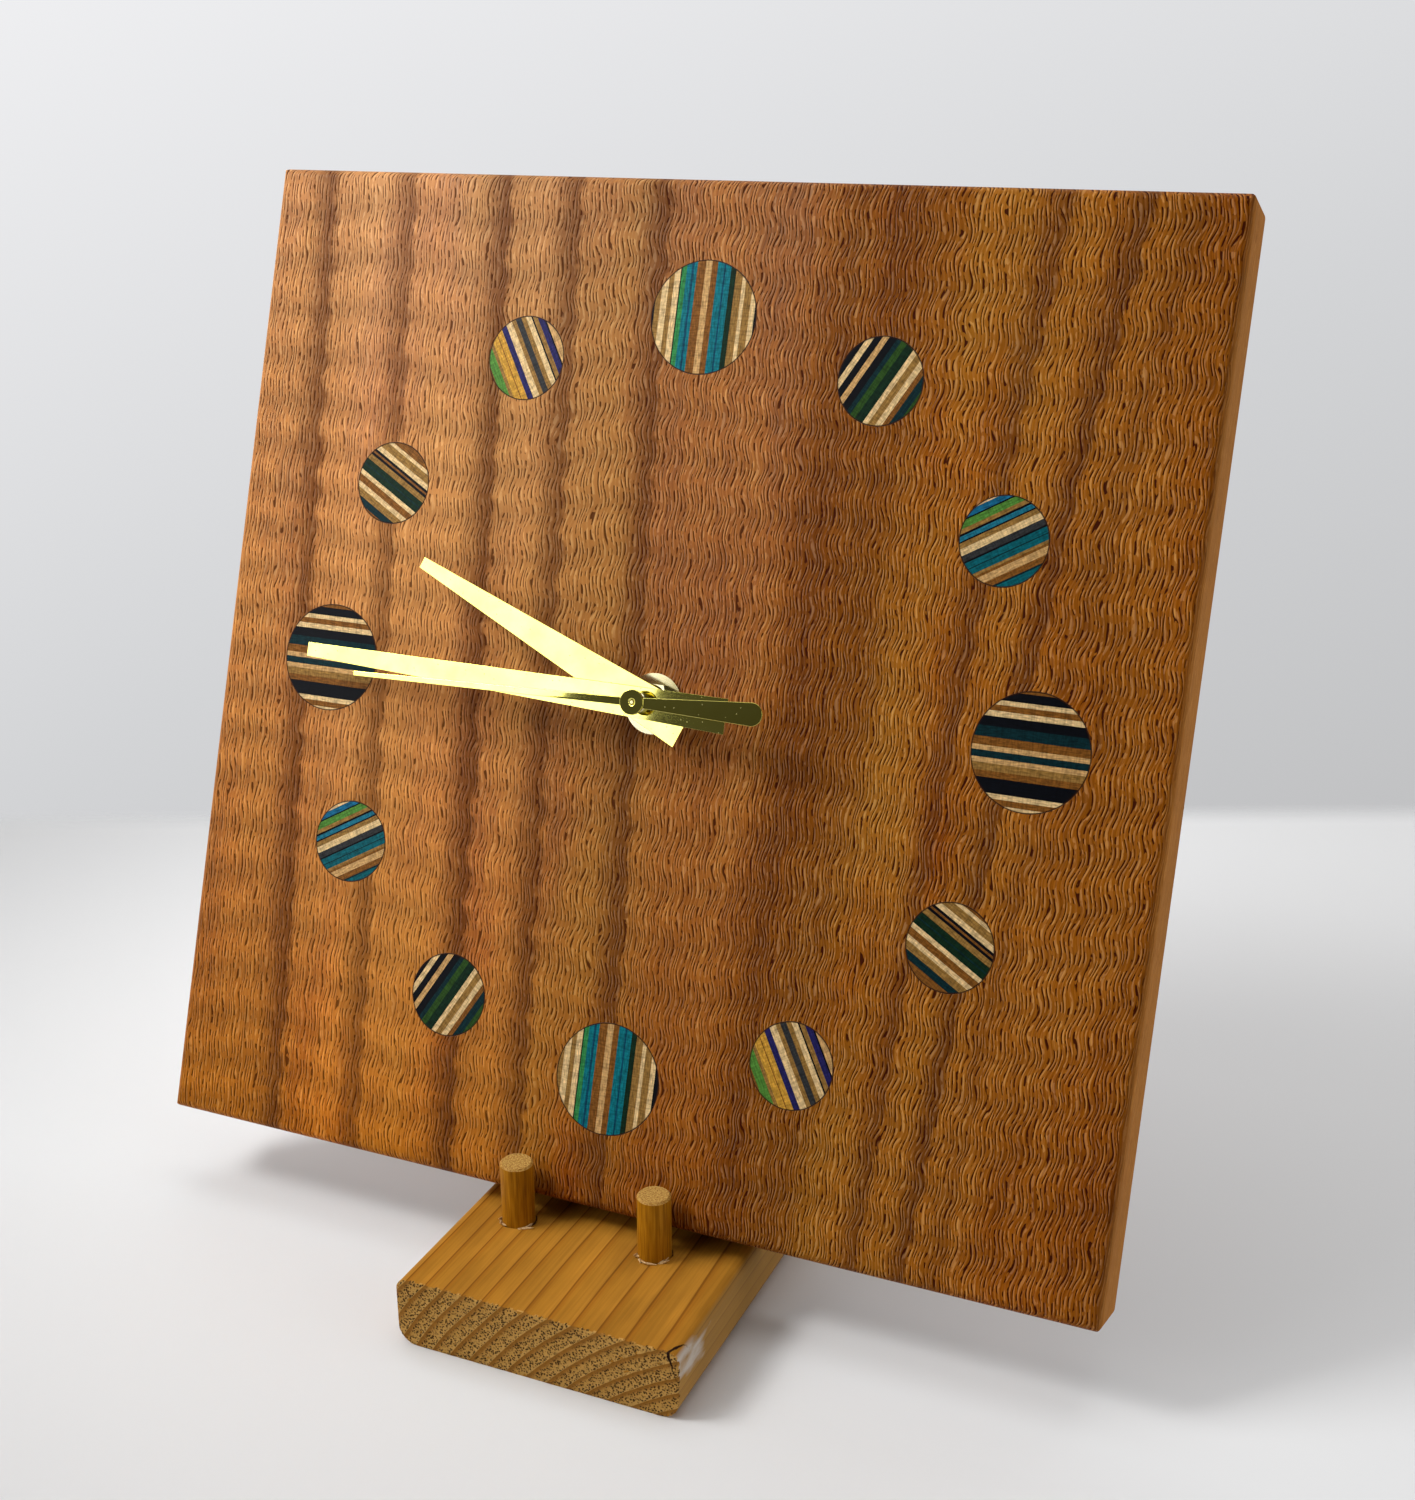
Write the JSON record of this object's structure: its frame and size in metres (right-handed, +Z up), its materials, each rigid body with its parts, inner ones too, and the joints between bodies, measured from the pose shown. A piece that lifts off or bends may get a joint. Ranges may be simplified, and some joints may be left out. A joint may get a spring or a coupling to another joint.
{
  "type": "wooden clock",
  "caption": "Square wooden clock with round striped inlays for hour marks and brass hands, leaning back on a block stand with dowel pegs.",
  "frame": {"origin": "middle of the stand block's underside, on the table", "axes": "+X to the right seen from the front, +Y to the back, +Z up; the dial faces -Y and leans back"},
  "size_m": [0.3048, 0.1617, 0.3154],
  "materials": {
    "board_wood": "satin oiled",
    "inlay_wood": "satin oiled, dyed stripes",
    "block_wood": "raw sawn softwood",
    "dowel_wood": "raw",
    "polished_brass": "polished",
    "gasket_rubber": "matt",
    "case_plastic": "moulded",
    "plate_plastic": "moulded",
    "gear_plastic": "moulded",
    "knob_plastic": "moulded",
    "magnet": "sintered",
    "motor_iron": "stamped",
    "copper_wire": "enamelled",
    "circuit_laminate": "laminate",
    "crystal_can": "bright",
    "chip_resin": "resin drop",
    "battery_can": "plain wrapped cell",
    "contact_steel": "nickel plated"
  },
  "bodies": {
    "stand": {"stand_block": "block_wood", "front_peg_left": "dowel_wood", "front_peg_right": "dowel_wood", "rear_peg_left": "dowel_wood", "rear_peg_right": "dowel_wood"},
    "clock": {"face_board": "board_wood", "inlay_01": "inlay_wood", "inlay_02": "inlay_wood", "inlay_03": "inlay_wood", "inlay_04": "inlay_wood", "inlay_05": "inlay_wood", "inlay_06": "inlay_wood", "inlay_07": "inlay_wood", "inlay_08": "inlay_wood", "inlay_09": "inlay_wood", "inlay_10": "inlay_wood", "inlay_11": "inlay_wood", "inlay_12": "inlay_wood", "dial_gasket": "gasket_rubber", "dial_washer": "polished_brass", "dial_nut": "polished_brass", "threaded_bush": "polished_brass", "movement_case": "case_plastic", "train_plate": "plate_plastic", "movement_back_cover": "case_plastic", "stator": "motor_iron", "coil_core": "motor_iron", "coil_bobbin": "plate_plastic", "coil_winding": "copper_wire", "circuit_board": "circuit_laminate", "quartz_crystal": "crystal_can", "control_chip": "chip_resin", "battery_contact_positive": "contact_steel", "battery_contact_negative": "contact_steel"},
    "minute_arbor": {"minute_hand": "polished_brass", "minute_nut": "polished_brass", "minute_wheel": "polished_brass"},
    "hour_arbor": {"hour_hand": "polished_brass", "hour_wheel": "polished_brass"},
    "second_arbor": {"second_hand": "polished_brass", "second_wheel": "polished_brass"},
    "third_arbor": {"third_wheel": "gear_plastic"},
    "intermediate_arbor": {"intermediate_wheel": "gear_plastic"},
    "rotor_arbor": {"rotor": "magnet", "rotor_pinion": "gear_plastic"},
    "motion_arbor": {"motion_wheel": "gear_plastic"},
    "setting_arbor": {"setting_knob": "knob_plastic"},
    "battery_cell": {"battery": "battery_can"}
  },
  "joints": [
    {"name": "clock_lift", "type": "slide", "parent": "stand", "child": "clock", "axis": [0, 0, 1], "range_m": [0, 0.05]},
    {"name": "minute_turn", "type": "hinge", "parent": "clock", "child": "minute_arbor", "pos_m": [-0.0044, 0.01748, 0.17082], "axis": [0, 0.9455, -0.3256], "continuous": true},
    {"name": "hour_turn", "type": "hinge", "parent": "clock", "child": "hour_arbor", "pos_m": [-0.0044, 0.01748, 0.17082], "axis": [0, 0.9455, -0.3256], "continuous": true},
    {"name": "second_turn", "type": "hinge", "parent": "clock", "child": "second_arbor", "pos_m": [-0.0044, 0.01748, 0.17082], "axis": [0, 0.9455, -0.3256], "continuous": true},
    {"name": "third_turn", "type": "hinge", "parent": "clock", "child": "third_arbor", "pos_m": [-0.01375, 0.01924, 0.17593], "axis": [0, 0.9455, -0.3256], "continuous": true},
    {"name": "intermediate_turn", "type": "hinge", "parent": "clock", "child": "intermediate_arbor", "pos_m": [-0.0002, 0.01985, 0.1777], "axis": [0, 0.9455, -0.3256], "continuous": true},
    {"name": "rotor_turn", "type": "hinge", "parent": "clock", "child": "rotor_arbor", "pos_m": [0.00769, 0.02079, 0.18041], "axis": [0, 0.9455, -0.3256], "continuous": true},
    {"name": "motion_turn", "type": "hinge", "parent": "clock", "child": "motion_arbor", "pos_m": [0.00599, 0.01944, 0.17649], "axis": [0, 0.9455, -0.3256], "continuous": true},
    {"name": "knob_turn", "type": "hinge", "parent": "clock", "child": "setting_arbor", "pos_m": [0.01727, 0.0181, 0.17261], "axis": [0, 0.9455, -0.3256], "continuous": true},
    {"name": "battery_slide", "type": "slide", "parent": "clock", "child": "battery_cell", "axis": [0, 0.9455, -0.3256], "range_m": [0, 0.025]}
  ],
  "couplings": [
    {"joint": "hour_turn", "follows": "minute_turn", "ratio": 0.083333},
    {"joint": "motion_turn", "follows": "minute_turn", "ratio": -0.33333},
    {"joint": "knob_turn", "follows": "minute_turn", "ratio": 1},
    {"joint": "second_turn", "follows": "minute_turn", "ratio": 60},
    {"joint": "third_turn", "follows": "minute_turn", "ratio": -8},
    {"joint": "intermediate_turn", "follows": "minute_turn", "ratio": -300},
    {"joint": "rotor_turn", "follows": "minute_turn", "ratio": 1800}
  ]
}
